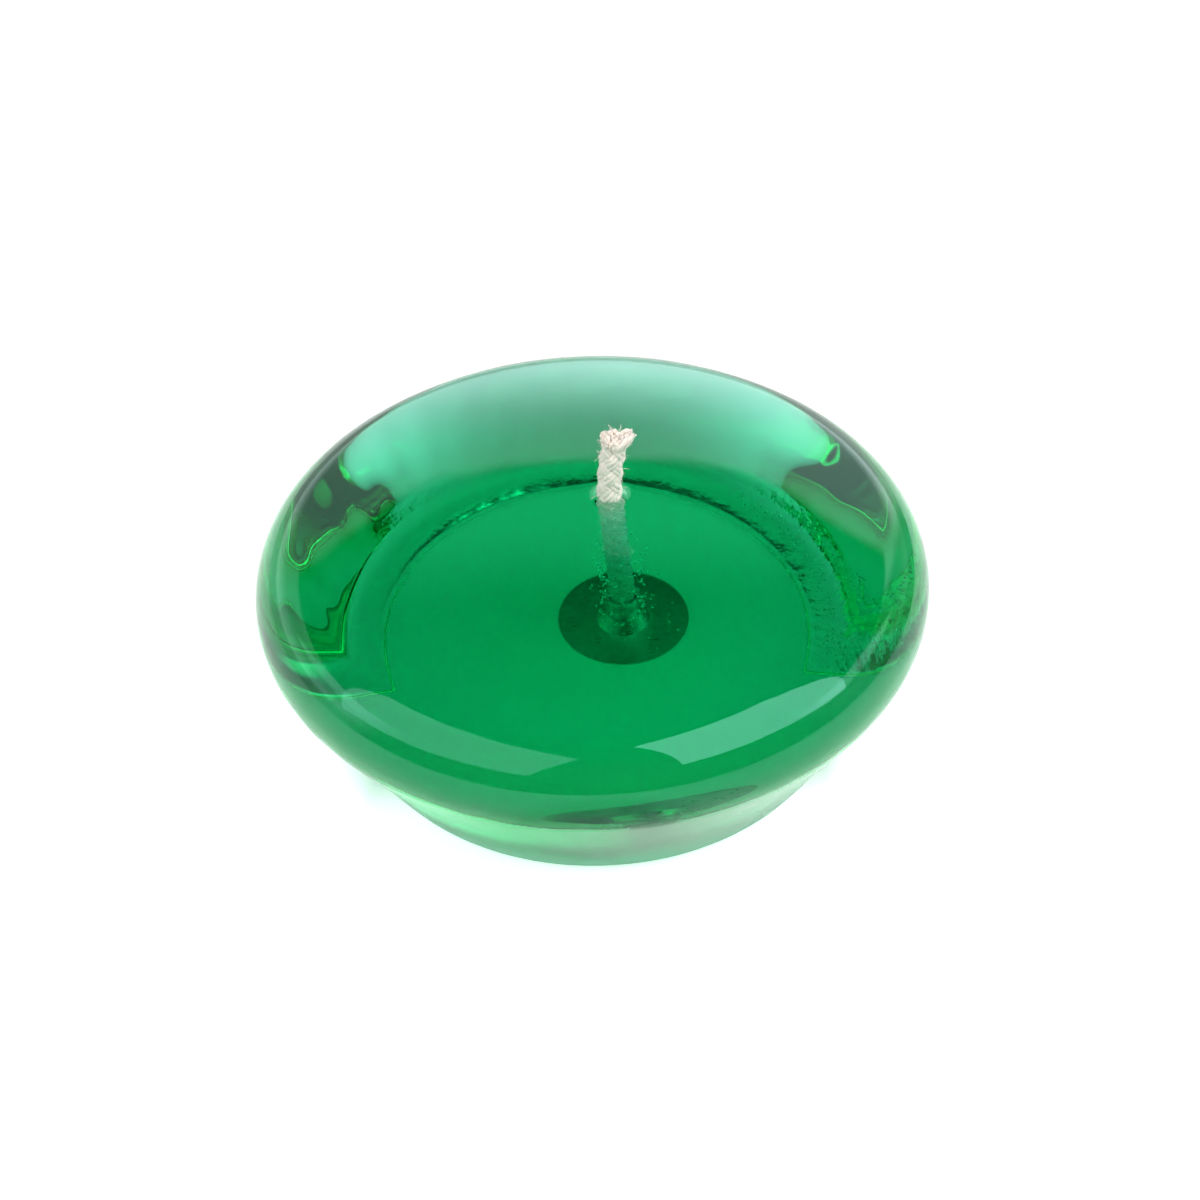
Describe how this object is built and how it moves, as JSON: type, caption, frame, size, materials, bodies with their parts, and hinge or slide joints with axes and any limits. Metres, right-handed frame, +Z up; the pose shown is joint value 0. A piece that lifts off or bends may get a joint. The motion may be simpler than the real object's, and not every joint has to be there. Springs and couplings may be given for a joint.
{
  "type": "floating candle",
  "caption": "Clear green gel floating candle: a domed disc with a round shoulder and sloping side, moulded around a braided cotton wick in a stamped sustainer.",
  "frame": {"origin": "centre of the poured face that the candle rests on, on the axis of the mould", "axes": "+Z up along the axis of the mould, +X to the right of the pictured view, -Y towards the viewer"},
  "size_m": [0.0762, 0.0762, 0.0383],
  "materials": {
    "gel": "clear green gel, glossy from the mould",
    "cotton": "undyed braided cotton",
    "tinned_steel": "thin stamped sheet, dull tin"
  },
  "bodies": {
    "root": {"gel_body": "gel", "wick": "cotton", "wick_sustainer": "tinned_steel"}
  },
  "joints": []
}
